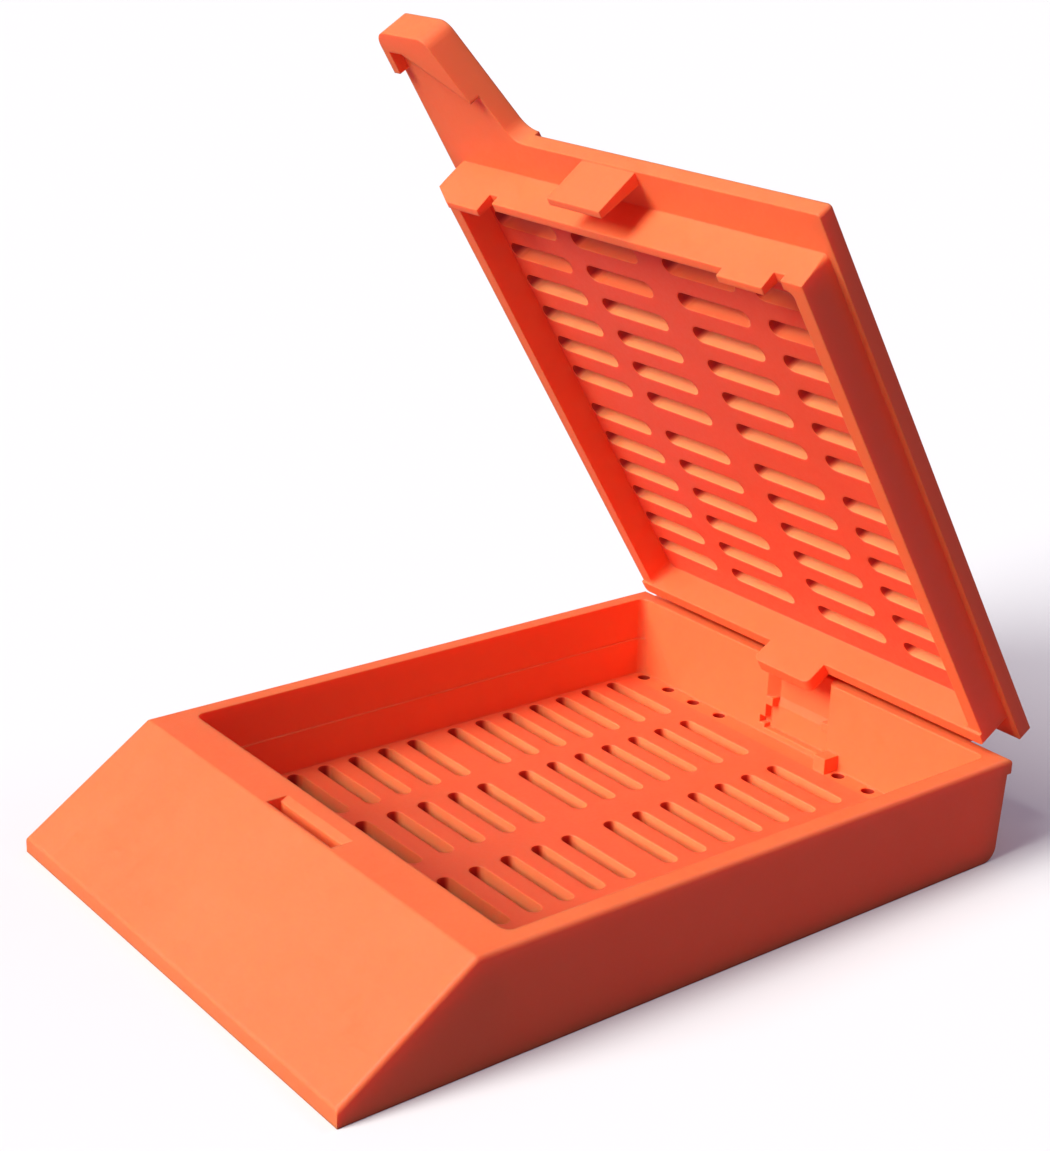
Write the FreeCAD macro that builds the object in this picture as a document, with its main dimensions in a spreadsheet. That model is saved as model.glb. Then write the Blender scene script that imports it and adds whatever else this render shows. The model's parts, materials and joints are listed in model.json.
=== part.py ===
"""Tissue cassette: a slotted tray with a sloped writing face, and a slotted lid
on a thin moulded film hinge. Millimetres, +Z up, origin at the centre of the
tray's underside, +X towards the hinge. The lid stands open at rest.

The lid is drawn in its own closed position with its local origin on the hinge
axis, and its Placement turns it open.
"""
import FreeCAD
import Part
import math
import os
import re

import Sketcher

SIZES = {
    # overall
    "tray_length": 40.9,
    "tray_width": 28.5,
    "rim_height": 5.6,
    # tray walls
    "side_wall": 1.0,
    "back_wall": 1.0,
    "floor_thickness": 0.85,
    "wall_step_drop": 2.5,
    "wall_step": 0.12,
    "cavity_radius": 0.5,
    "edge_round": 0.25,
    # writing face and ledge
    "foot_lip": 0.85,
    "slope_run": 6.95,
    "slope_skin": 1.1,
    "ledge_depth": 2.25,
    "ledge_thickness": 1.0,
    "front_wall": 1.3,
    # outer face of the back wall
    "lip_height": 0.8,
    "lip_overhang": 0.3,
    "back_draft": 0.25,
    "back_corner": 0.8,
    "boss_foot": 1.0,
    "boss_cheek": 0.8,
    # floor slots: rows along X in two groups, columns along Y in two pairs
    "floor_rows": 7,
    "floor_end_margin": 2.19,
    "floor_slot_shift": -0.6,
    "floor_group_gap": 2.8,
    "floor_slot_width": 0.9,
    "floor_slot_margin": 0.3,
    "floor_centre_bar": 1.86,
    "floor_side_bar": 1.25,
    # drain holes at the foot of the back wall, in two groups
    "drain_count": 4,
    "drain_far_first": 5.67,
    "drain_near_first": 3.92,
    "drain_end_margin": 0.8,
    "drain_radius": 0.38,
    "drain_setback": 0.45,
    # recess in the back wall, for the lid's tongue
    "recess_half_width": 1.9,
    "recess_mouth_half_width": 2.4,
    "recess_low_depth": 0.45,
    "recess_high_depth": 0.6,
    "recess_foot": 0.37,
    "recess_low_drop": 2.9,
    "recess_high_drop": 2.4,
    "recess_notch_width": 0.4,
    "recess_notch_foot": 0.6,
    "recess_notch_height": 0.45,
    "stop_height": 0.9,
    "stop_depth": 1.05,
    "stop_width": 0.85,
    "stop_gap": 0.15,
    # latch
    "latch_half_width": 1.9,
    "latch_offset": 0.2,
    "latch_thickness": 0.65,
    "latch_tip_thickness": 0.38,
    "latch_depth": 2.6,
    "latch_clearance": 0.06,
    "latch_side_clearance": 0.9,
    "latch_lead_run": 0.4,
    "latch_lead_drop": 0.2,
    "latch_slot_depth": 2.0,
    # lid plate and skirt
    "lid_thickness": 0.8,
    "lid_near_inset": 0.75,
    "lid_far_inset": 0.1,
    "lid_corner": 0.2,
    "lid_front_setback": 0.15,
    "lid_back_overhang": 0.25,
    "seat_gap": 0.02,
    "skirt_thickness": 0.8,
    "skirt_side_clearance": 0.16,
    "skirt_back_clearance": 0.2,
    "skirt_front_clearance": 0.05,
    "skirt_corner": 0.3,
    "skirt_draft": 0.42,
    "skirt_side_depth": 1.85,
    "skirt_back_depth": 2.0,
    # free-end wall of the skirt, from its far corner to its near one
    "foot_depth": 2.6,
    "foot_slant": 1.4,
    "far_notch_inset": 3.99,
    "notch_width": 0.65,
    "notch_depth": 1.52,
    "middle_depth": 2.0,
    "near_step_inset": 4.79,
    "near_step_depth": 2.45,
    "near_notch_inset": 1.29,
    # panel inside the skirt, and the tongue
    "panel_proud": 0.2,
    "panel_recess": 0.1,
    "panel_corner": 0.45,
    "tongue_half_width": 2.1,
    "tongue_depth": 3.5,
    "tongue_corner": 0.4,
    # lid slots
    "lid_rows": 6,
    "lid_end_margin": 2.325,
    "lid_slot_shift": 0.225,
    "lid_group_gap": 2.8,
    "lid_slot_width": 1.05,
    "lid_slot_margin": 0.1,
    "lid_centre_bar": 1.9,
    "lid_side_bar": 1.3,
    # pull tab at one free corner of the lid, with a raised grip under it
    "tab_length": 5.95,
    "tab_thickness": 1.1,
    "tab_overlap": 0.3,
    "tab_root_width": 6.85,
    "tab_tip_width": 4.15,
    "tab_root_fillet": 1.2,
    "tab_tip_radius": 0.85,
    "grip_height": 0.6,
    "grip_side_length": 3.45,
    "grip_tip_length": 1.15,
    "grip_rim_length": 2.45,
    "grip_rim_width": 0.5,
    "grip_bay_width": 1.55,
    # hinge
    "pivot_behind": 1.205,
    "pivot_drop": 0.934,
    "open_angle": 57.7,
    "film_near_inset": 2.6,
    "film_far_inset": 0.3,
    "film_thickness": 0.35,
    "film_bend": 0.5,
    "film_drop": 0.45,
}

FUNCTIONS = {"cos", "sin", "tan", "atan", "sqrt", "min", "max", "deg"}

doc = FreeCAD.newDocument("cassette")
sheet = doc.addObject("Spreadsheet::Sheet", "Sizes")
for row, (alias, value) in enumerate(SIZES.items(), start=1):
    sheet.set(f"A{row}", alias)
    sheet.set(f"B{row}", str(value))
    sheet.setAlias(f"B{row}", alias)
doc.recompute()


def bound(text):
    """The text of an expression with every size name pointed at the sheet."""
    def point(match):
        word = match.group(0)
        return word if word in FUNCTIONS else f"Sizes.{word}"
    return re.sub(r"[a-z][a-z_]+", point, text)


def value(text):
    """The number that an expression gives now."""
    result = sheet.evalExpression(bound(text))
    return float(getattr(result, "Value", result))


# Places shared by several features, as expressions.
FRONT = "(-tray_length / 2)"
BACK = "(tray_length / 2)"
WALL = f"({BACK} - back_wall)"
LEDGE = f"({FRONT} + slope_run)"
CAVITY = f"({LEDGE} + ledge_depth)"
CAVITY_HALF = "(tray_width / 2 - side_wall)"
FLOOR_HALF = f"({CAVITY_HALF} - wall_step)"
LATCH_BACK = f"({CAVITY} - front_wall)"
PIVOT = f"({BACK} + pivot_behind)"
PIVOT_HEIGHT = "(rim_height - pivot_drop)"
RISE = "(rim_height - foot_lip)"
SLOPE_LENGTH = f"sqrt({RISE} * {RISE} + slope_run * slope_run)"

# Places on the lid, from the hinge axis, with the lid closed.
SEAT = "(pivot_drop + seat_gap)"
PLATE_BACK = "(lid_back_overhang - pivot_behind)"
PLATE_FRONT = f"({LEDGE} + lid_front_setback - {PIVOT})"
PLATE_NEAR = "(lid_near_inset - tray_width / 2)"
PLATE_FAR = "(tray_width / 2 - lid_far_inset)"
SKIRT_BACK = f"({WALL} - skirt_back_clearance - {PIVOT})"
SKIRT_FRONT = f"({CAVITY} + skirt_front_clearance - {PIVOT})"
SKIRT_HALF = f"({CAVITY_HALF} - skirt_side_clearance)"
PANEL_BACK = f"({SKIRT_BACK} - skirt_thickness)"
PANEL_FRONT = f"({SKIRT_FRONT} + skirt_thickness)"
PANEL_HALF = f"({SKIRT_HALF} - skirt_thickness)"


def body(name):
    made = doc.addObject("PartDesign::Body", name)
    made.Label = name
    return made


def plane(owner, role):
    return next(f for f in owner.Origin.OriginFeatures if f.Role == role)


def sketch(owner, name, role, offset="0"):
    """A sketch on one of the body's own origin planes, moved along its normal."""
    made = owner.newObject("Sketcher::SketchObject", name)
    made.AttachmentSupport = [(plane(owner, role), "")]
    made.MapMode = "FlatFace"
    made.setExpression("AttachmentOffset.Base.z", bound(offset))
    return made


def hold(drawing, kind, *where):
    """A dimension bound to an expression, which is the last argument."""
    *place, text = where
    index = drawing.addConstraint(Sketcher.Constraint(kind, *place, value(text)))
    drawing.setExpression(f"Constraints[{index}]", bound(text))


def pin(drawing, curve, point, across, along):
    hold(drawing, "DistanceX", curve, point, across)
    hold(drawing, "DistanceY", curve, point, along)


def polygon(drawing, corners):
    """A closed outline through corners given as pairs of expressions."""
    spots = [FreeCAD.Vector(value(a), value(b), 0) for a, b in corners]
    count = len(spots)
    first = drawing.GeometryCount
    for i in range(count):
        drawing.addGeometry(Part.LineSegment(spots[i], spots[(i + 1) % count]))
    for i in range(count):
        after = first + (i + 1) % count
        drawing.addConstraint(Sketcher.Constraint("Coincident", first + i, 2, after, 1))
    for i, (across, along) in enumerate(corners):
        pin(drawing, first + i, 1, across, along)


def rectangle(drawing, low, high, bottom, top):
    polygon(drawing, [(low, bottom), (high, bottom), (high, top), (low, top)])


def rounded_rectangle(drawing, low, high, bottom, top, radius):
    """A rectangle with the same radius at all four corners."""
    x0, x1, y0, y1 = value(low), value(high), value(bottom), value(top)
    r = value(radius)
    first = drawing.GeometryCount
    quarter = math.pi / 2
    centres = [(x1 - r, y1 - r), (x0 + r, y1 - r), (x0 + r, y0 + r), (x1 - r, y0 + r)]
    for i, (x, y) in enumerate(centres):
        circle = Part.Circle(FreeCAD.Vector(x, y, 0), FreeCAD.Vector(0, 0, 1), r)
        arc = Part.ArcOfCircle(circle, i * quarter, (i + 1) * quarter)
        drawing.addGeometry(arc)
        x2, y2 = centres[(i + 1) % 4]
        next_start = FreeCAD.Vector(
            x2 + r * (0, -1, 0, 1)[i], y2 + r * (1, 0, -1, 0)[i], 0
        )
        drawing.addGeometry(Part.LineSegment(arc.EndPoint, next_start))
    for i in range(4):
        arc, line, after = first + 2 * i, first + 2 * i + 1, first + (2 * i + 2) % 8
        drawing.addConstraint(Sketcher.Constraint("Tangent", arc, 2, line, 1))
        drawing.addConstraint(Sketcher.Constraint("Tangent", line, 2, after, 1))
        if i:
            drawing.addConstraint(Sketcher.Constraint("Equal", first, arc))
    hold(drawing, "Radius", first, radius)
    pin(drawing, first, 3, f"{high} - {radius}", f"{top} - {radius}")
    pin(drawing, first + 4, 3, f"{low} + {radius}", f"{bottom} + {radius}")
    drawing.addConstraint(Sketcher.Constraint("Horizontal", first + 1))


def slot(drawing, centre, start, length, width):
    """A round-ended slot along Y, as expressions."""
    x, y0 = value(centre), value(start)
    r = value(width) / 2
    y1 = y0 + value(length)
    ends = [(y1 - r, 0, math.pi), (y0 + r, math.pi, 2 * math.pi)]
    first = drawing.GeometryCount
    for y, a0, a1 in ends:
        circle = Part.Circle(FreeCAD.Vector(x, y, 0), FreeCAD.Vector(0, 0, 1), r)
        drawing.addGeometry(Part.ArcOfCircle(circle, a0, a1))
    for side, top, bottom in ((-1, y1 - r, y0 + r), (1, y0 + r, y1 - r)):
        drawing.addGeometry(Part.LineSegment(
            FreeCAD.Vector(x + side * r, top, 0), FreeCAD.Vector(x + side * r, bottom, 0)
        ))
    upper, lower, left, right = range(first, first + 4)
    for one, two in ((upper, left), (left, lower), (lower, right), (right, upper)):
        drawing.addConstraint(Sketcher.Constraint("Tangent", one, 2, two, 1))
    drawing.addConstraint(Sketcher.Constraint("Equal", upper, lower))
    hold(drawing, "Radius", upper, f"{width} / 2")
    pin(drawing, upper, 3, centre, f"{start} + {length} - {width} / 2")
    pin(drawing, lower, 3, centre, f"{start} + {width} / 2")


def extrude(owner, kind, name, drawing, length, both_ways=False, turned=False):
    """A Pad or a Pocket of a sketch, which must change the body's volume."""
    before = owner.Shape.Volume if owner.Tip else 0.0
    made = owner.newObject(f"PartDesign::{kind}", name)
    made.Profile = drawing
    made.Type = 0
    made.setExpression("Length", bound(length))
    made.Midplane = both_ways
    made.Reversed = turned
    drawing.Visibility = False
    doc.recompute()
    gain = made.Shape.Volume - before
    if (gain <= 0) if kind == "Pad" else (gain >= 0):
        raise RuntimeError(f"{name} changed nothing: {gain:.4f} mm3")
    return made


def pattern(owner, name, original, role, occurrences, pitch):
    """Copies of a feature along one of the body's axes."""
    before = owner.Shape.Volume
    made = owner.newObject("PartDesign::LinearPattern", name)
    made.Originals = [original]
    made.Direction = (plane(owner, role), [""])
    made.setExpression("Occurrences", bound(occurrences))
    made.setExpression("Length", bound(f"({occurrences} - 1) * {pitch}"))
    owner.Tip = made
    doc.recompute()
    if abs(owner.Shape.Volume - before) < 1e-6:
        raise RuntimeError(f"{name} changed nothing")
    return made


def dress(owner, kind, name, test, size):
    """A Fillet or Chamfer on the edges of the body's tip that pass a test."""
    base = owner.Tip
    names = [f"Edge{i}" for i, edge in enumerate(base.Shape.Edges, start=1) if test(edge)]
    if not names:
        raise RuntimeError(f"{name} finds no edge")
    made = owner.newObject(f"PartDesign::{kind}", name)
    made.Base = (base, names)
    made.setExpression("Radius" if kind == "Fillet" else "Size", bound(size))
    doc.recompute()
    return made


def near(one, two):
    return abs(one - two) < 1e-4


def along(edge, axis):
    """True for a straight edge along x, y or z."""
    if edge.Curve.TypeId != "Part::GeomLine":
        return False
    return near(abs(getattr(edge.tangentAt(edge.FirstParameter), axis)), 1.0)


def slot_rows(owner, name, level, depth, prefix, area):
    """Slots in four columns and two groups of rows, as one sketch and a pattern.
    They fill an area given by its two ends along X and its half width."""
    front, back, half_width = area
    rows = f"{prefix}_rows"
    middle = f"(({front} + {back}) / 2 + {prefix}_slot_shift)"
    spare = f"({back} - {front}) / 2 - {prefix}_group_gap / 2 - {prefix}_end_margin"
    pitch = f"(({spare}) / ({rows} - 1))"
    bars = f"{prefix}_centre_bar / 2 - {prefix}_side_bar"
    length = f"(({half_width} - {prefix}_slot_margin - {bars}) / 2)"
    drawing = sketch(owner, f"{name}_sketch", "XY_Plane", level)
    starts = [
        f"{prefix}_centre_bar / 2",
        f"{prefix}_centre_bar / 2 + {length} + {prefix}_side_bar",
        f"-{prefix}_centre_bar / 2 - {length}",
        f"-{prefix}_centre_bar / 2 - 2 * {length} - {prefix}_side_bar",
    ]
    centres = [
        f"{middle} - {prefix}_group_gap / 2 - ({rows} - 1) * {pitch}",
        f"{middle} + {prefix}_group_gap / 2",
    ]
    for centre in centres:
        for start in starts:
            slot(drawing, centre, start, length, f"{prefix}_slot_width")
    cut = extrude(owner, "Pocket", f"{name}_first", drawing, depth)
    pattern(owner, name, cut, "X_Axis", rows, pitch)


def make_tray():
    tray = body("base_tray")
    drawing = sketch(tray, "side_view", "XZ_Plane")
    lip_under = "rim_height - lip_height"
    polygon(drawing, [
        (FRONT, "0"),
        (f"{BACK} - lip_overhang - back_draft", "0"),
        (f"{BACK} - lip_overhang", lip_under),
        (BACK, lip_under),
        (BACK, "rim_height"),
        (LEDGE, "rim_height"),
        (FRONT, "foot_lip"),
    ])
    extrude(tray, "Pad", "outer_block", drawing, "tray_width", both_ways=True)
    foot_x = value(f"{BACK} - lip_overhang - back_draft")
    dress(tray, "Fillet", "back_foot_round", lambda e: (
        along(e, "y") and near(e.CenterOfMass.z, 0) and near(e.CenterOfMass.x, foot_x)
    ), "back_corner")
    top, lip, side = value("rim_height"), value("foot_lip"), value("tray_width / 2")
    dress(tray, "Fillet", "outer_edge_round", lambda e: (
        near(abs(e.CenterOfMass.y), side) and e.BoundBox.ZMax > lip + 1
        and e.BoundBox.XMax - e.BoundBox.XMin > 2 and e.CenterOfMass.z > 1
        or along(e, "y") and (near(e.CenterOfMass.z, top) or near(e.CenterOfMass.z, lip))
    ), "edge_round")

    drawing = sketch(tray, "boss_view", "XZ_Plane")
    boss_top = f"{lip_under} + lip_height / 4"
    polygon(drawing, [
        (WALL, "boss_foot"),
        (f"{BACK} - lip_overhang - back_draft / 2", "boss_foot"),
        (BACK, "boss_foot + lip_overhang + back_draft"),
        (BACK, boss_top),
        (WALL, boss_top),
    ])
    extrude(
        tray, "Pad", "recess_boss", drawing,
        "2 * (recess_mouth_half_width + boss_cheek)", both_ways=True,
    )

    drawing = sketch(tray, "cavity_plan", "XY_Plane", "rim_height")
    rounded_rectangle(
        drawing, CAVITY, WALL, f"-{CAVITY_HALF}", CAVITY_HALF, "cavity_radius"
    )
    extrude(tray, "Pocket", "cavity", drawing, "wall_step_drop")
    drawing = sketch(tray, "lower_cavity_plan", "XY_Plane", "rim_height - wall_step_drop")
    rounded_rectangle(drawing, CAVITY, WALL, f"-{FLOOR_HALF}", FLOOR_HALF, "cavity_radius")
    extrude(
        tray, "Pocket", "lower_cavity", drawing,
        "rim_height - wall_step_drop - floor_thickness",
    )

    drawing = sketch(tray, "hollow_view", "XZ_Plane")
    skin_run = f"slope_skin * {SLOPE_LENGTH} / {RISE}"
    run_per_rise = f"slope_run / {RISE}"
    polygon(drawing, [
        (f"{FRONT} - foot_lip * {run_per_rise} + {skin_run}", "0"),
        (LATCH_BACK, "0"),
        (LATCH_BACK, "rim_height - ledge_thickness"),
        (
            f"{FRONT} + (rim_height - ledge_thickness - foot_lip) * {run_per_rise}"
            f" + {skin_run}",
            "rim_height - ledge_thickness",
        ),
    ])
    extrude(
        tray, "Pocket", "wedge_hollow", drawing, "tray_width - 2 * side_wall",
        both_ways=True,
    )

    drawing = sketch(tray, "latch_slot_view", "XZ_Plane")
    slot_front = f"{LATCH_BACK} - latch_thickness - 2 * latch_clearance"
    polygon(drawing, [
        (slot_front, "rim_height - latch_slot_depth"),
        (LATCH_BACK, "rim_height - latch_slot_depth"),
        (LATCH_BACK, "rim_height - latch_lead_drop"),
        (f"{LATCH_BACK} + latch_lead_run", "rim_height"),
        (slot_front, "rim_height"),
    ])
    extrude(
        tray, "Pocket", "latch_slot", drawing,
        "2 * (latch_half_width + latch_side_clearance)", both_ways=True,
    )

    inside = f"{WALL} - stop_depth / 2"
    low_end = f"{WALL} + recess_low_depth"
    high_end = f"{WALL} + recess_high_depth"
    step_foot = "rim_height - recess_low_drop"
    step_top = "rim_height - recess_high_drop"
    drawing = sketch(tray, "recess_low_view", "XZ_Plane")
    rectangle(drawing, inside, low_end, "floor_thickness + recess_foot", step_foot)
    extrude(
        tray, "Pocket", "recess_low_part", drawing, "2 * recess_mouth_half_width",
        both_ways=True,
    )
    drawing = sketch(tray, "recess_high_view", "XZ_Plane")
    polygon(drawing, [
        (inside, step_foot),
        (low_end, step_foot),
        (high_end, step_top),
        (high_end, "rim_height"),
        (inside, "rim_height"),
    ])
    extrude(
        tray, "Pocket", "recess_high_part", drawing, "2 * recess_half_width",
        both_ways=True,
    )
    drawing = sketch(tray, "recess_mouth_plan", "XY_Plane", "rim_height")
    polygon(drawing, [
        (WALL, "-recess_mouth_half_width"),
        (high_end, "-recess_half_width"),
        (high_end, "recess_half_width"),
        (WALL, "recess_mouth_half_width"),
    ])
    extrude(tray, "Pocket", "recess_mouth", drawing, "recess_high_drop")
    drawing = sketch(tray, "recess_notch_view", "YZ_Plane", WALL)
    notch_foot = "floor_thickness + recess_notch_foot"
    rectangle(
        drawing, "recess_mouth_half_width - recess_notch_width",
        "recess_mouth_half_width + recess_notch_width",
        notch_foot, f"{notch_foot} + recess_notch_height",
    )
    extrude(tray, "Pocket", "recess_notch", drawing, "recess_low_depth", turned=True)

    drawing = sketch(tray, "stop_plan", "XY_Plane", "floor_thickness")
    stop_side = "-recess_mouth_half_width - stop_gap"
    rectangle(
        drawing, f"{WALL} - stop_depth", f"{WALL} + back_wall / 4",
        f"{stop_side} - stop_width", stop_side,
    )
    extrude(tray, "Pad", "stop_block", drawing, "stop_height")

    slot_rows(
        tray, "floor_slots", "floor_thickness", "floor_thickness", "floor",
        (CAVITY, WALL, FLOOR_HALF),
    )

    pitch = f"(({FLOOR_HALF} - drain_end_margin - drain_far_first) / (drain_count - 1))"
    drawing = sketch(tray, "drain_plan", "XY_Plane", "floor_thickness")
    for y in ("drain_far_first", f"-drain_near_first - (drain_count - 1) * {pitch}"):
        centre = FreeCAD.Vector(value(f"{WALL} - drain_setback"), value(y), 0)
        circle = Part.Circle(centre, FreeCAD.Vector(0, 0, 1), value("drain_radius"))
        curve = drawing.addGeometry(circle)
        hold(drawing, "Radius", curve, "drain_radius")
        pin(drawing, curve, 3, f"{WALL} - drain_setback", y)
    first = extrude(tray, "Pocket", "first_drain_holes", drawing, "floor_thickness")
    pattern(tray, "drain_holes", first, "Y_Axis", "drain_count", pitch)
    return tray


def tab_outline(drawing, tip, near_tip, near_root):
    """The tab's plan: its far side in line with the plate, its near side slanting
    to the root, where a rounded corner runs into the plate's free edge."""
    spread = "(tab_root_width - tab_tip_width)"
    side = f"sqrt(tab_length * tab_length + {spread} * {spread})"
    reach = f"(tab_root_fillet * ({side} - {spread}) / tab_length)"
    over = f"{PLATE_FRONT} + tab_overlap"
    foot_x, foot_y = f"{PLATE_FRONT} - tab_root_fillet", f"{near_root} - {reach}"
    x_tip, x_front, x_over = value(tip), value(PLATE_FRONT), value(over)
    far, foot = value(PLATE_FAR), FreeCAD.Vector(value(foot_x), value(foot_y), 0)
    lean = math.atan2(x_front - x_tip, value(spread))
    circle = Part.Circle(foot, FreeCAD.Vector(0, 0, 1), value("tab_root_fillet"))
    arc = Part.ArcOfCircle(circle, 0, math.pi - lean)
    corner = FreeCAD.Vector(x_tip, value(near_tip), 0)
    below = FreeCAD.Vector(x_over, foot.y, 0)
    spots = [below, FreeCAD.Vector(x_over, far, 0), FreeCAD.Vector(x_tip, far, 0), corner]
    drawing.addGeometry(arc)
    drawing.addGeometry(Part.LineSegment(arc.StartPoint, below))
    for start, end in zip(spots, spots[1:]):
        drawing.addGeometry(Part.LineSegment(start, end))
    drawing.addGeometry(Part.LineSegment(corner, arc.EndPoint))
    root, under, back, top, end, slant = range(6)
    for one, two in ((under, back), (back, top), (top, end), (end, slant)):
        drawing.addConstraint(Sketcher.Constraint("Coincident", one, 2, two, 1))
    drawing.addConstraint(Sketcher.Constraint("Coincident", root, 1, under, 1))
    drawing.addConstraint(Sketcher.Constraint("Horizontal", under))
    drawing.addConstraint(Sketcher.Constraint("Tangent", slant, 2, root, 2))
    hold(drawing, "Radius", root, "tab_root_fillet")
    pin(drawing, root, 3, foot_x, foot_y)
    hold(drawing, "DistanceY", root, 1, foot_y)
    hold(drawing, "DistanceX", back, 1, over)
    pin(drawing, top, 1, over, PLATE_FAR)
    pin(drawing, end, 1, tip, PLATE_FAR)
    pin(drawing, slant, 1, tip, near_tip)


def make_lid():
    lid = body("lid")
    drawing = sketch(lid, "plate_plan", "XY_Plane", SEAT)
    rounded_rectangle(
        drawing, PLATE_FRONT, PLATE_BACK, PLATE_NEAR, PLATE_FAR, "lid_corner"
    )
    extrude(lid, "Pad", "plate", drawing, "lid_thickness")

    panel = (PANEL_FRONT, PANEL_BACK, f"-{PANEL_HALF}", PANEL_HALF, "panel_corner")
    drawing = sketch(lid, "skirt_plan", "XY_Plane", SEAT)
    rounded_rectangle(
        drawing, SKIRT_FRONT, SKIRT_BACK, f"-{SKIRT_HALF}", SKIRT_HALF, "skirt_corner"
    )
    rounded_rectangle(drawing, *panel)
    extrude(lid, "Pad", "skirt", drawing, "foot_depth", turned=True)

    below = f"{SEAT} - foot_depth - skirt_thickness"
    behind = f"{SKIRT_BACK} + skirt_thickness"
    drawing = sketch(lid, "skirt_trim_view", "XZ_Plane")
    polygon(drawing, [
        (PANEL_FRONT, below),
        (behind, below),
        (behind, f"{SEAT} - skirt_back_depth"),
        (PANEL_BACK, f"{SEAT} - skirt_back_depth"),
        (PANEL_BACK, f"{SEAT} - skirt_side_depth"),
        (PANEL_FRONT, f"{SEAT} - skirt_side_depth"),
    ])
    extrude(lid, "Pocket", "skirt_trim", drawing, "tray_width", both_ways=True)

    ahead = f"{SKIRT_FRONT} - skirt_thickness"
    drawing = sketch(lid, "skirt_draft_view", "XZ_Plane")
    polygon(drawing, [
        (SKIRT_FRONT, SEAT),
        (f"{SKIRT_FRONT} + skirt_draft", f"{SEAT} - foot_depth"),
        (ahead, f"{SEAT} - foot_depth"),
        (ahead, SEAT),
    ])
    extrude(lid, "Pocket", "skirt_front_draft", drawing, "tray_width", both_ways=True)

    far_notch = f"{SKIRT_HALF} - far_notch_inset"
    near_notch = f"near_notch_inset - {SKIRT_HALF}"
    near_step = f"near_step_inset - {SKIRT_HALF}"
    far_side = f"{SKIRT_HALF} + skirt_thickness"
    near_side = f"-{SKIRT_HALF} - skirt_thickness"
    drawing = sketch(lid, "skirt_front_view", "YZ_Plane", PANEL_FRONT)
    polygon(drawing, [
        (far_side, below),
        (far_side, f"{SEAT} - skirt_side_depth"),
        (SKIRT_HALF, f"{SEAT} - skirt_side_depth"),
        (f"{SKIRT_HALF} - foot_slant", f"{SEAT} - foot_depth"),
        (far_notch, f"{SEAT} - foot_depth"),
        (far_notch, f"{SEAT} - notch_depth"),
        (f"{far_notch} - notch_width", f"{SEAT} - notch_depth"),
        (f"{far_notch} - notch_width", f"{SEAT} - middle_depth"),
        (near_step, f"{SEAT} - middle_depth"),
        (near_step, f"{SEAT} - near_step_depth"),
        (f"{near_notch} + notch_width", f"{SEAT} - near_step_depth"),
        (f"{near_notch} + notch_width", f"{SEAT} - notch_depth"),
        (near_notch, f"{SEAT} - notch_depth"),
        (near_notch, f"{SEAT} - skirt_side_depth"),
        (near_side, f"{SEAT} - skirt_side_depth"),
        (near_side, below),
    ])
    extrude(lid, "Pocket", "skirt_front_steps", drawing, "2 * skirt_thickness")

    drawing = sketch(lid, "tongue_view", "YZ_Plane", PANEL_BACK)
    rectangle(
        drawing, "-tongue_half_width", "tongue_half_width", f"{SEAT} - tongue_depth", SEAT
    )
    extrude(lid, "Pad", "tongue", drawing, "skirt_thickness")
    tongue_end = value(f"{SEAT} - tongue_depth")
    dress(lid, "Fillet", "tongue_round", lambda e: (
        along(e, "x") and near(e.CenterOfMass.z, tongue_end)
    ), "tongue_corner")

    drawing = sketch(lid, "panel_inner_plan", "XY_Plane", SEAT)
    rounded_rectangle(drawing, *panel)
    extrude(lid, "Pad", "panel_inner_face", drawing, "panel_proud", turned=True)
    drawing = sketch(lid, "panel_outer_plan", "XY_Plane", f"{SEAT} + lid_thickness")
    rounded_rectangle(drawing, *panel)
    extrude(lid, "Pocket", "panel_outer_face", drawing, "panel_recess")

    slot_rows(
        lid, "lid_slots", f"{SEAT} + lid_thickness", "lid_thickness + panel_proud", "lid",
        (PANEL_FRONT, PANEL_BACK, PANEL_HALF),
    )

    drawing = sketch(lid, "latch_view", "XZ_Plane", "-latch_offset")
    latch_back = f"{LATCH_BACK} - latch_clearance - {PIVOT}"
    polygon(drawing, [
        (latch_back, SEAT),
        (latch_back, f"{SEAT} - latch_depth"),
        (f"{latch_back} - latch_tip_thickness", f"{SEAT} - latch_depth"),
        (f"{latch_back} - latch_thickness", SEAT),
    ])
    extrude(
        lid, "Pad", "latch_finger", drawing, "2 * latch_half_width", both_ways=True
    )

    tip = f"{PLATE_FRONT} - tab_length"
    near_tip = f"{PLATE_FAR} - tab_tip_width"
    near_root = f"{PLATE_FAR} - tab_root_width"
    drawing = sketch(lid, "tab_plan", "XY_Plane", SEAT)
    tab_outline(drawing, tip, near_tip, near_root)
    extrude(lid, "Pad", "tab", drawing, "tab_thickness")
    slant = "(tab_root_width - tab_tip_width) / tab_length * grip_side_length"
    drawing = sketch(lid, "grip_plan", "XY_Plane", SEAT)
    polygon(drawing, [
        (tip, PLATE_FAR),
        (tip, near_tip),
        (f"{tip} + grip_side_length", f"{near_tip} - {slant}"),
        (f"{tip} + grip_tip_length", f"{PLATE_FAR} - grip_bay_width"),
        (f"{tip} + grip_tip_length", f"{PLATE_FAR} - grip_rim_width"),
        (f"{tip} + grip_rim_length", f"{PLATE_FAR} - grip_rim_width"),
        (f"{tip} + grip_rim_length", PLATE_FAR),
    ])
    extrude(lid, "Pad", "grip", drawing, "grip_height", turned=True)
    tip_x = value(tip)
    dress(lid, "Fillet", "tab_tip_round", lambda e: (
        along(e, "z") and near(e.CenterOfMass.x, tip_x)
    ), "tab_tip_radius")

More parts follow.
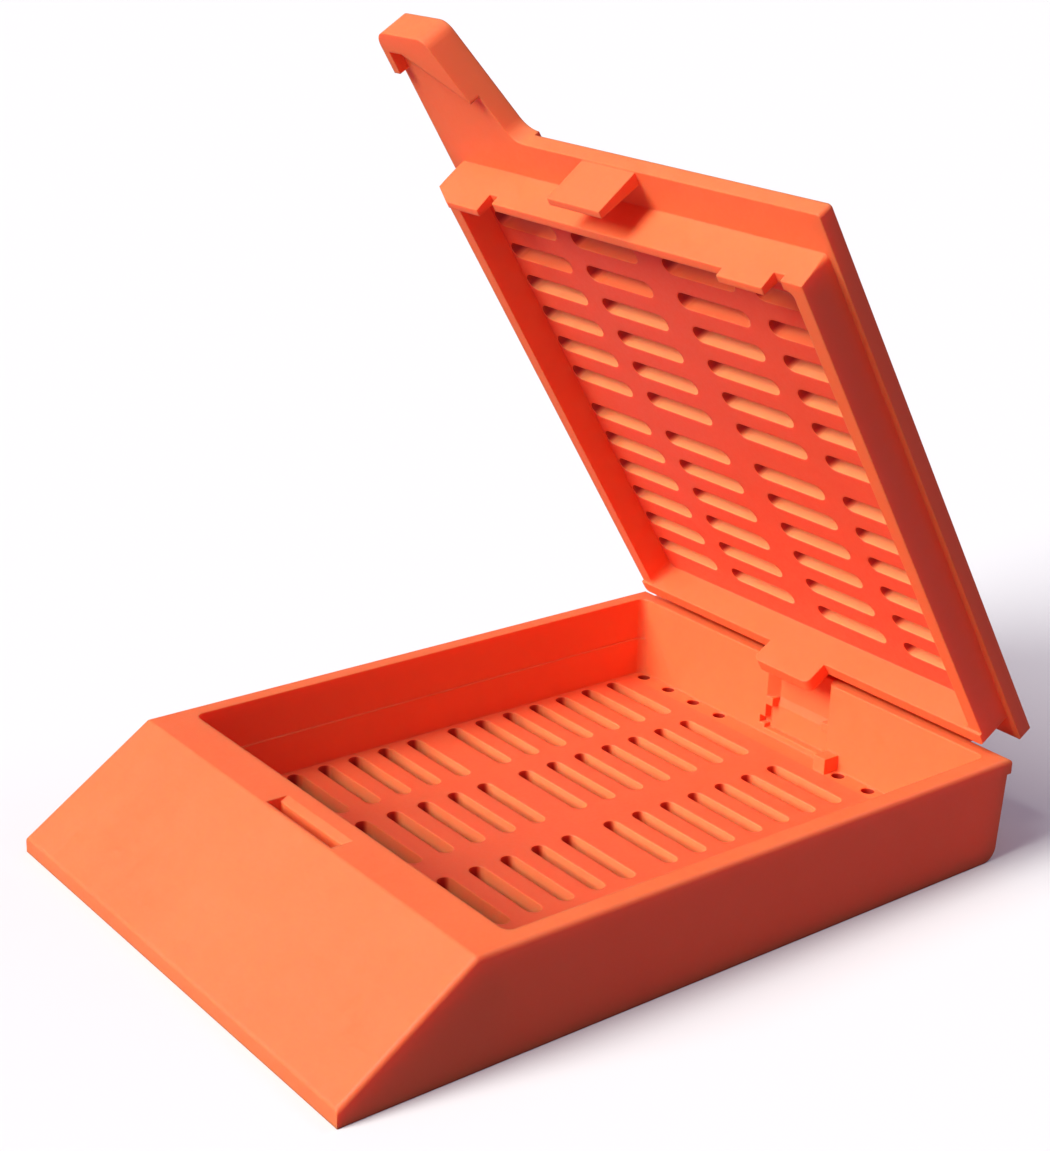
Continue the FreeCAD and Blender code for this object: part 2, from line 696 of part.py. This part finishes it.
    lid.setExpression("Placement.Base.x", bound(PIVOT))
    lid.setExpression("Placement.Base.z", bound(PIVOT_HEIGHT))
    lid.Placement.Rotation = FreeCAD.Rotation(FreeCAD.Vector(0, 1, 0), value("open_angle"))
    lid.setExpression("Placement.Rotation.Angle", bound("open_angle"))
    return lid


def make_film():
    """A web from the tray's back lip, round a bend, to the edge of the lid plate."""
    film = body("film_hinge")
    turn_c = "cos(open_angle * 1 deg)"
    turn_s = "sin(open_angle * 1 deg)"
    edge_z = f"({SEAT} + lid_thickness / 2)"
    end_x = f"{PIVOT} + {PLATE_BACK} * {turn_c} + {edge_z} * {turn_s}"
    end_z = f"{PIVOT_HEIGHT} - {PLATE_BACK} * {turn_s} + {edge_z} * {turn_c}"
    start_z = "(rim_height - film_drop)"

    path = sketch(film, "film_path", "XZ_Plane")
    bend, turn = value("film_bend"), math.radians(180 - value("open_angle"))
    x0, z0, x3, z3 = value(BACK), value(start_z), value(end_x), value(end_z)
    tail = (z3 - z0 - bend * (1 - math.cos(turn))) / math.sin(turn)
    x1 = x3 - tail * math.cos(turn) - bend * math.sin(turn)
    centre = FreeCAD.Vector(x1, z0 + bend, 0)
    circle = Part.Circle(centre, FreeCAD.Vector(0, 0, 1), bend)
    arc = Part.ArcOfCircle(circle, -math.pi / 2, turn - math.pi / 2)
    path.addGeometry(Part.LineSegment(FreeCAD.Vector(x0, z0, 0), arc.StartPoint))
    path.addGeometry(arc)
    path.addGeometry(Part.LineSegment(arc.EndPoint, FreeCAD.Vector(x3, z3, 0)))
    path.addConstraint(Sketcher.Constraint("Horizontal", 0))
    path.addConstraint(Sketcher.Constraint("Tangent", 0, 2, 1, 1))
    path.addConstraint(Sketcher.Constraint("Tangent", 1, 2, 2, 1))
    hold(path, "Radius", 1, "film_bend")
    pin(path, 0, 1, BACK, start_z)
    pin(path, 2, 2, end_x, end_z)
    index = path.addConstraint(Sketcher.Constraint("Angle", 2, turn))
    path.setExpression(f"Constraints[{index}]", bound("(180 - open_angle) * 1 deg"))

    section = sketch(film, "film_section", "YZ_Plane", BACK)
    rectangle(
        section, "lid_near_inset + film_near_inset - tray_width / 2",
        "tray_width / 2 - lid_far_inset - film_far_inset",
        f"{start_z} - film_thickness / 2", f"{start_z} + film_thickness / 2",
    )
    web = film.newObject("PartDesign::AdditivePipe", "film_web")
    web.Profile = section
    web.Spine = path
    doc.recompute()
    return film


subparts = [make_tray(), make_lid(), make_film()]

doc.recompute()
for item in doc.Objects:
    if "Invalid" in item.State or "Error" in item.State:
        raise RuntimeError(f"{item.Label} failed: {item.State}")
os.makedirs("parts", exist_ok=True)
for item in subparts:
    if item.Shape.isNull() or not item.Shape.isValid():
        raise RuntimeError(f"{item.Label} has no valid shape")
    item.Shape.exportStep(f"parts/{item.Label}.step")
    box = item.Shape.BoundBox
    print(item.Label, len(item.Shape.Solids), round(item.Shape.Volume, 3), box)
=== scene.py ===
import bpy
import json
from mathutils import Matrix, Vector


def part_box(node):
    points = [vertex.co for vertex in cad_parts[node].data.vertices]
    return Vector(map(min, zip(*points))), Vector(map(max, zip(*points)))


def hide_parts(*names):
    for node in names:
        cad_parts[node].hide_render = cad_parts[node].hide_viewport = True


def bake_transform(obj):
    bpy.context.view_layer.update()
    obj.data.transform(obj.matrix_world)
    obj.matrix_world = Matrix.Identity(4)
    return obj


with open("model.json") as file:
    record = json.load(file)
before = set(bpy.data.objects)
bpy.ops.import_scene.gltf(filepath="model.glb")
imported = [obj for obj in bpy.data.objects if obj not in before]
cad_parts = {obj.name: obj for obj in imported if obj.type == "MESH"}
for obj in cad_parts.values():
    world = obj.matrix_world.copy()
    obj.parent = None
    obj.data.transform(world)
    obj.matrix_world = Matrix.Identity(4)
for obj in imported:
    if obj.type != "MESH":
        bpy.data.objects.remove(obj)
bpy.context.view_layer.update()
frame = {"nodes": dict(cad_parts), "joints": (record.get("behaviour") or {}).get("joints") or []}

import json
import math

import bpy
import numpy as np
from mathutils import Matrix, Vector

MM = 0.001

# ---- places, in metres and radians ---------------------------------------
hinge = frame["joints"][0]
PIVOT = Vector(hinge["pos_m"])
LID_OPEN = math.radians(-hinge["range_deg"][0])
FILM_TURN = math.radians(hinge["range_deg"][1])

X, Y, Z = Vector((1, 0, 0)), Vector((0, 1, 0)), Vector((0, 0, 1))
LID_ALONG = Vector((-math.cos(LID_OPEN), 0, math.sin(LID_OPEN)))
LID_INWARD = Vector((-math.sin(LID_OPEN), 0, -math.cos(LID_OPEN)))


def linear(code):
    """Turns an sRGB hex colour into linear red, green, blue and alpha."""
    parts = [int(code[i:i + 2], 16) / 255 for i in (1, 3, 5)]
    curve = [p / 12.92 if p <= 0.04045 else ((p + 0.055) / 1.055) ** 2.4 for p in parts]
    return (*curve, 1.0)


# ---- shapes --------------------------------------------------------------
FILM_HALF = 0.175 * MM
FILM_BEND = 0.5 * MM
FILM_THINNING = 0.3


def new_piece(name, points, faces):
    """A smooth-shaded object at the origin, from an array of points and its faces."""
    mesh = bpy.data.meshes.new(name)
    mesh.from_pydata(points.tolist(), [], faces)
    mesh.validate()
    mesh.polygons.foreach_set("use_smooth", np.ones(len(mesh.polygons), bool))
    piece = bpy.data.objects.new(name, mesh)
    bpy.context.scene.collection.objects.link(piece)
    return piece


def film_line(low, high, steps):
    """The film's centre line in x and z: level out of the tray's lip, round an arc
    of constant radius, then straight into the lid's edge. Returns the points and
    the direction at each, as the angle up from level."""
    start = np.array([low.x, low.z + FILM_HALF])
    arc_x = high.x - FILM_HALF - FILM_BEND
    end_z = high.z - FILM_HALF * abs(math.cos(FILM_TURN))
    rise = FILM_BEND * (1 - math.cos(FILM_TURN))
    tail = (end_z - start[1] - rise) / math.sin(FILM_TURN)
    lengths = [arc_x - start[0], FILM_BEND * FILM_TURN, tail]
    s = np.linspace(0, sum(lengths), steps)
    level = np.minimum(s, lengths[0])
    turned = np.clip(s - lengths[0], 0, lengths[1]) / FILM_BEND
    past = np.maximum(s - lengths[0] - lengths[1], 0)
    x = start[0] + level + FILM_BEND * np.sin(turned) + past * np.cos(turned)
    z = start[1] + FILM_BEND * (1 - np.cos(turned)) + past * np.sin(turned)
    return np.stack([x, z], 1), turned, s / s[-1]


def film(name, low, high, steps=56, around=10, across=24):
    """A web with round side edges, carried along the film's centre line. Its half
    thickness is the full one, less a share that rises as a sine squared to the
    middle of the line. Its stretch is the sine of the share of the bend passed."""
    centre, angle, share = film_line(low, high, steps)
    half = FILM_HALF * (1 - FILM_THINNING * np.sin(np.pi * share) ** 2)
    near, far = low.y + FILM_HALF, high.y - FILM_HALF
    top = np.linspace(near, far, across)
    turn = np.linspace(math.pi / 2, -math.pi / 2, around)[1:-1]
    side = np.concatenate([top, far + FILM_HALF * np.cos(turn), top[::-1],
                           near - FILM_HALF * np.cos(turn)])
    out = np.concatenate([np.ones(across), np.sin(turn), -np.ones(across), -np.sin(turn)])
    offset = half[:, None] * out[None, :]
    x = centre[:, :1] - offset * np.sin(angle)[:, None]
    z = centre[:, 1:] + offset * np.cos(angle)[:, None]
    y = np.broadcast_to(side, x.shape)
    points = np.stack([x, y, z], 2).reshape(-1, 3)
    loop = len(side)
    i, j = np.meshgrid(np.arange(steps - 1), np.arange(loop), indexing="ij")
    k = (j + 1) % loop
    faces = np.stack([i * loop + j, (i + 1) * loop + j, (i + 1) * loop + k, i * loop + k], 2)
    caps = [list(range(loop)), list(range(steps * loop - 1, (steps - 1) * loop - 1, -1))]
    web = new_piece(name, points, faces.reshape(-1, 4).tolist() + caps)
    stretch = web.data.attributes.new("stretch", "FLOAT", "POINT")
    stretch.data.foreach_set("value", np.repeat(np.sin(np.pi * angle / FILM_TURN), loop))
    return web


# ---- materials -----------------------------------------------------------
ORANGE = "#F97B46"
ORANGE_DRIFT = "#F5703E"
FILM_BENT = "#FA8450"
# Painted shade: the deep red of the slots' shaded ends and of the drain holes' walls.
SLOT_END_PAINTED_SHADE = "#B42A12"

DRIFT_SIZE = 7 * MM
DRIFT_DETAIL = 3.0
FLOW_SIZE = 2.5 * MM
FLOW_WANDER = 1.2
GRAIN_SIZE = 0.22 * MM
GRAIN_STRENGTH = 0.35
FINE_DETAIL = 2.0
MOTTLE_RANGE = (0.6, 1.4)
GLOSS_SWING = 0.09
EDGE_ROUND = 0.13 * MM
EDGE_SAMPLES = 4
ACETAL_IOR = 1.48
SCATTER_SHARE = 0.6
SCATTER_DEPTH = 1.5 * MM
# Red light goes the whole scatter depth into acetal of this colour, green and blue
# only these shares of it.
SCATTER_REACH = (1.0, 0.12, 0.05)

# The two slotted plates. Places along and inward are counted from the origin given.
# "depths" are the plate's back and its face, "rows" the stretch that has slots, and
# "lit_rows" the part of it where the slot walls that face "light" get any.
LID_PLATE = {
    "origin": PIVOT,
    "along": LID_ALONG,
    "inward": LID_INWARD,
    "light": LID_ALONG,
    "depths": (-1.76 * MM, -0.754 * MM),
    "half_width": 12.6 * MM,
    "rows": (1.9 * MM, 31.0 * MM),
    "lit_rows": (1.9 * MM, 26.0 * MM),
    # Painted highlight on the slot walls turned to the light, and painted shade, darker and redder,
    # on the face between the slots.
    "edge": "#FC9258",
    "face": "#EC5A3B",
}
TRAY_PLATE = {
    "origin": Vector(),
    "along": X,
    "inward": Z,
    "light": -X,
    "depths": (0.03 * MM, 0.85 * MM),
    "half_width": 13.1 * MM,
    "rows": (-11.2 * MM, 18.3 * MM),
    "lit_rows": (-11.2 * MM, 18.3 * MM),
    # Painted highlight on the slot walls turned to the light, and painted shade, darker and redder,
    # on the floor's face between the slots.
    "edge": "#FA8650",
    "face": "#F46A40",
}
DRAIN_ROW = (18.45 * MM, 19.4 * MM)
DRAIN_DEPTH = (0.04 * MM, 0.78 * MM)

# How wide the tints fade: across the rows, through the plate and in the drains.
ROW_FADE = 0.1 * MM
DEPTH_FADE = 0.02 * MM
DRAIN_FADE = 0.03 * MM
# The walls' tint stops this far short of the face, and the face's own tint lies
# between these two distances from it.
WALL_STOP = 0.03 * MM
FACE_SKIN = (-0.01 * MM, 0.03 * MM)
# How squarely a surface faces a direction where its tint starts and where the tint
# is full, as the cosine of the angle between the two.
FACING_IN = (0.8, 0.95)
FACING_LIGHT = (0.2, 0.7)
FACING_NEAR = (0.5, 0.9)


def add(tree, kind, settings=None, links=None):
    """Adds a node; settings are attributes or input values, links are outputs."""
    made = tree.nodes.new(kind)
    for name, given in (settings or {}).items():
        if isinstance(name, str) and hasattr(made, name):
            setattr(made, name, given)
        else:
            made.inputs[name].default_value = given
    for name, source in (links or {}).items():
        tree.links.new(source, made.inputs[name])
    return made


def between(vector, direction, low, high, soft):
    """The two limits of a band from low to high, fading over the soft width."""
    return [(vector, direction, low - soft, low), (vector, direction, high + soft, high)]


def mask(tree, limits):
    """The product of one ramp for each limit. A limit is a vector, a direction, and
    the two reaches along that direction between which the ramp goes from 0 to 1."""
    total = None
    for vector, direction, start, end in limits:
        reach = add(tree, "ShaderNodeVectorMath", {"operation": "DOT_PRODUCT", 1: direction},
                    {0: vector})
        ramp = add(tree, "ShaderNodeMapRange", {"From Min": start, "From Max": end},
                   {"Value": reach.outputs["Value"]}).outputs["Result"]
        if total is None:
            total = ramp
        else:
            total = add(tree, "ShaderNodeMath", {"operation": "MULTIPLY"},
                        {0: total, 1: ramp}).outputs["Value"]
    return total


def plate_painted_light_and_shade(tree, place, plate):
    """Painted light and shade on a slotted plate: painted shade, darker and redder, on the face
    between the slots, then a painted highlight, pale, on the slot walls turned to the light, then
    painted shade, deep red, on the shaded ends of the slots."""
    spot, normal = place.outputs["Object"], place.outputs["Normal"]
    along, inward = plate["along"], plate["inward"]
    start, level = along.dot(plate["origin"]), inward.dot(plate["origin"])
    back, face = (level + depth for depth in plate["depths"])
    rows = [start + row for row in plate["rows"]]
    lit_rows = [start + row for row in plate["lit_rows"]]
    half = plate["half_width"]
    area = between(spot, along, *rows, ROW_FADE) + between(spot, Y, -half, half, ROW_FADE)
    walls = area + between(spot, inward, back, face - WALL_STOP, DEPTH_FADE)
    top = between(spot, inward, face + FACE_SKIN[0], face + FACE_SKIN[1], DEPTH_FADE)
    lit = between(spot, along, *lit_rows, ROW_FADE)
    return [
        (plate["face"], mask(tree, area + top + [(normal, inward, *FACING_IN)])),
        (plate["edge"], mask(tree, walls + lit + [(normal, plate["light"], *FACING_LIGHT)])),
        (SLOT_END_PAINTED_SHADE, mask(tree, walls + [(normal, -Y, *FACING_NEAR)])),
    ]


def lid_painted_light_and_shade(tree, place):
    """Painted highlight and shade on the lid's slotted panel."""
    return plate_painted_light_and_shade(tree, place, LID_PLATE)


def tray_painted_light_and_shade(tree, place):
    """Painted highlight and shade on the tray's slotted floor, and painted shade on the deep walls
    of the drain holes behind it.
    """
    spot, half = place.outputs["Object"], TRAY_PLATE["half_width"]
    drain_painted_shade = (between(spot, X, *DRAIN_ROW, DEPTH_FADE) + between(spot, Y, -half, half, ROW_FADE)
              + between(spot, Z, *DRAIN_DEPTH, DRAIN_FADE))
    return plate_painted_light_and_shade(tree, place, TRAY_PLATE) + [(SLOT_END_PAINTED_SHADE, mask(tree, drain_painted_shade))]


def film_tints(tree, place):
    """The bend of the film, a little paler where it has been stretched."""
    stretch = add(tree, "ShaderNodeAttribute", {"attribute_name": "stretch"})
    return [(FILM_BENT, stretch.outputs["Fac"])]


def moulded(name, tints, rough, grain_depth):
    """Injection-moulded acetal, orange right through. The eye gets a soft satin
    gloss with no clear reflection, light that enters and comes back redder, tone
    that drifts over several millimetres, flow marks a few millimetres long in the
    gloss, and the mould's fine grain. Real grain is about 0.05 mm and is drawn
    coarser, so that it shows."""
    material = bpy.data.materials.new(name)
    material.use_nodes = True
    tree = material.node_tree
    tree.nodes.clear()
    place = add(tree, "ShaderNodeTexCoord")
    drift = add(tree, "ShaderNodeTexNoise",
                {"Scale": 1 / DRIFT_SIZE, "Detail": DRIFT_DETAIL},
                {"Vector": place.outputs["Object"]})
    tone = add(tree, "ShaderNodeMix",
               {"data_type": "RGBA", 6: linear(ORANGE_DRIFT), 7: linear(ORANGE)},
               {0: drift.outputs["Fac"]}).outputs[2]
    # The tints laid over the tone: painted highlight and shade on the slotted plates, and the
    # film's paler stretched bend.
    for colour, amount in tints(tree, place):
        tone = add(tree, "ShaderNodeMix", {"data_type": "RGBA", 7: linear(colour)},
                   {0: amount, 6: tone}).outputs[2]
    grain = add(tree, "ShaderNodeTexNoise",
                {"Scale": 1 / GRAIN_SIZE, "Detail": FINE_DETAIL},
                {"Vector": place.outputs["Object"]})
    flow = add(tree, "ShaderNodeTexNoise",
               {"Scale": 1 / FLOW_SIZE, "Detail": FINE_DETAIL, "Distortion": FLOW_WANDER},
               {"Vector": place.outputs["Object"]})
    mottle = add(tree, "ShaderNodeMath", {"operation": "ADD"},
                 {0: grain.outputs["Fac"], 1: flow.outputs["Fac"]})
    gloss = add(tree, "ShaderNodeMapRange", {
        "From Min": MOTTLE_RANGE[0],
        "From Max": MOTTLE_RANGE[1],
        "To Min": rough - GLOSS_SWING,
        "To Max": rough + GLOSS_SWING,
    }, {"Value": mottle.outputs["Value"]})
    edge = add(tree, "ShaderNodeBevel", {"samples": EDGE_SAMPLES, "Radius": EDGE_ROUND})
    relief = add(tree, "ShaderNodeBump", {"Strength": GRAIN_STRENGTH, "Distance": grain_depth},
                 {"Height": grain.outputs["Fac"], "Normal": edge.outputs["Normal"]})
    shader = add(tree, "ShaderNodeBsdfPrincipled", {
        "IOR": ACETAL_IOR,
        "Subsurface Weight": SCATTER_SHARE,
        "Subsurface Radius": SCATTER_REACH,
        "Subsurface Scale": SCATTER_DEPTH,
    }, {
        "Base Color": tone,
        "Roughness": gloss.outputs["Result"],
        "Normal": relief.outputs["Normal"],
    })
    add(tree, "ShaderNodeOutputMaterial", links={"Surface": shader.outputs["BSDF"]})
    return material


def paint(piece, material):
    """Gives a piece one material all over."""
    piece.data.materials.clear()
    piece.data.materials.append(material)


# ---- the cassette --------------------------------------------------------
# The tray and the lid come out of one satin mould, so they look alike but for their
# slots. The mould is smoother at the film, which is a little paler round its bend.
SATIN_ROUGH = 0.5
SATIN_GRAIN = 0.012 * MM
FILM_ROUGH = 0.4
FILM_GRAIN = 0.006 * MM
tray_satin = moulded("satin_moulded_acetal_tray", tray_painted_light_and_shade, SATIN_ROUGH, SATIN_GRAIN)
lid_satin = moulded("satin_moulded_acetal_lid", lid_painted_light_and_shade, SATIN_ROUGH, SATIN_GRAIN)
flexed = moulded("flexed_acetal_film", film_tints, FILM_ROUGH, FILM_GRAIN)

for node, finish in (("base_tray", tray_satin), ("lid", lid_satin)):
    for slot in frame["nodes"][node].material_slots:
        slot.material = finish

low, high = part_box("film_hinge")
web = film("film_hinge_web", low, high)
paint(web, flexed)
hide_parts("film_hinge")
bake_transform(web)

# ---- floor, light and camera ---------------------------------------------
FLOOR_HALF = 1.5
FLOOR_Z = -0.02 * MM
CARD_SEEN = "#EFF1ED"
CARD_BOUNCE = "#957381"
ROOM_SEEN = "#FFFFFF"
ROOM_HUE = "#E8BDFF"
ROOM_LIGHT = 0.188
bare = bpy.data.meshes.new("floor")
bare.from_pydata([(-FLOOR_HALF, -FLOOR_HALF, FLOOR_Z), (FLOOR_HALF, -FLOOR_HALF, FLOOR_Z),
                  (FLOOR_HALF, FLOOR_HALF, FLOOR_Z), (-FLOOR_HALF, FLOOR_HALF, FLOOR_Z)],
                 [], [(0, 1, 2, 3)])
floor = bpy.data.objects.new("floor", bare)
bpy.context.scene.collection.objects.link(floor)

# Matt card, pale and even to the eye. What it throws back on the cassette is dimmer
# and a little pink.
card = bpy.data.materials.new("matt_card")
card.use_nodes = True
tree = card.node_tree
tree.nodes.clear()
path = add(tree, "ShaderNodeLightPath")
shade = add(tree, "ShaderNodeMix",
            {"data_type": "RGBA", 6: linear(CARD_BOUNCE), 7: linear(CARD_SEEN)},
            {0: path.outputs["Is Camera Ray"]})
matt = add(tree, "ShaderNodeBsdfDiffuse", links={"Color": shade.outputs[2]})
add(tree, "ShaderNodeOutputMaterial", links={"Surface": matt.outputs["BSDF"]})
paint(floor, card)

# A white room to the eye, which lights the shaded sides weakly and a little violet.
world = bpy.data.worlds.new("studio")
bpy.context.scene.world = world
world.use_nodes = True
tree = world.node_tree
tree.nodes.clear()
path = add(tree, "ShaderNodeLightPath")
level = add(tree, "ShaderNodeMapRange", {"To Min": ROOM_LIGHT, "To Max": 1.0},
            {"Value": path.outputs["Is Camera Ray"]})
hue = add(tree, "ShaderNodeMix",
          {"data_type": "RGBA", 6: linear(ROOM_HUE), 7: linear(ROOM_SEEN)},
          {0: path.outputs["Is Camera Ray"]})
sky = add(tree, "ShaderNodeBackground",
          links={"Color": hue.outputs[2], "Strength": level.outputs["Result"]})
add(tree, "ShaderNodeOutputWorld", links={"Surface": sky.outputs["Background"]})


def lamp(name, towards, strength, spread):
    """A soft distant lamp that shines along a direction."""
    light = bpy.data.lights.new(name, "SUN")
    light.energy = strength
    light.angle = spread
    holder = bpy.data.objects.new(name, light)
    holder.matrix_world = Vector(towards).to_track_quat("-Z", "Y").to_matrix().to_4x4()
    bpy.context.scene.collection.objects.link(holder)


# Soft light from in front of the writing face, and a weaker one from behind the
# lid, as height above the floor in degrees (past 90 is from behind) and strength.
LIGHTS = ((28, 3.3), (50, 1.6), (98, 0.2), (130, 0.35))
LIGHT_SIDE = math.radians(9)
LIGHT_SPREAD = math.radians(26)
for step, (height, strength) in enumerate(LIGHTS):
    height = math.radians(height)
    along_x = math.cos(height) * math.cos(LIGHT_SIDE)
    along_y = -math.cos(height) * math.sin(LIGHT_SIDE)
    lamp(f"soft_{step}", (along_x, along_y, -math.sin(height)), strength, LIGHT_SPREAD)

# The camera looks from its place to its aim, then is turned by small angles about
# its own axes, in radians.
CAMERA_PLACE = (-0.0595625, -0.0739824, 0.0509139)
CAMERA_AIM = (-0.00043, 0.0, 0.010)
YAW, PITCH, ROLL = 0.000335647, -0.048288669, -0.036861043
LENS_MM = 65.354
SENSOR_MM = 36
NEAREST = 5 * MM
place = Vector(CAMERA_PLACE)
ahead = (Vector(CAMERA_AIM) - place).normalized()
right = ahead.cross(Z).normalized()
level_view = Matrix((right, right.cross(ahead), -ahead))
turn = Matrix.Rotation(ROLL, 3, "Z") @ Matrix.Rotation(PITCH, 3, "X") @ Matrix.Rotation(YAW, 3, "Y")
camera = bpy.data.objects.new("camera", bpy.data.cameras.new("camera"))
camera.matrix_world = Matrix.Translation(place) @ (turn @ level_view).transposed().to_4x4()
camera.data.lens = LENS_MM
camera.data.sensor_width = SENSOR_MM
camera.data.clip_start = NEAREST
bpy.context.scene.collection.objects.link(camera)
bpy.context.scene.camera = camera
bpy.context.scene.view_settings.view_transform = "Standard"
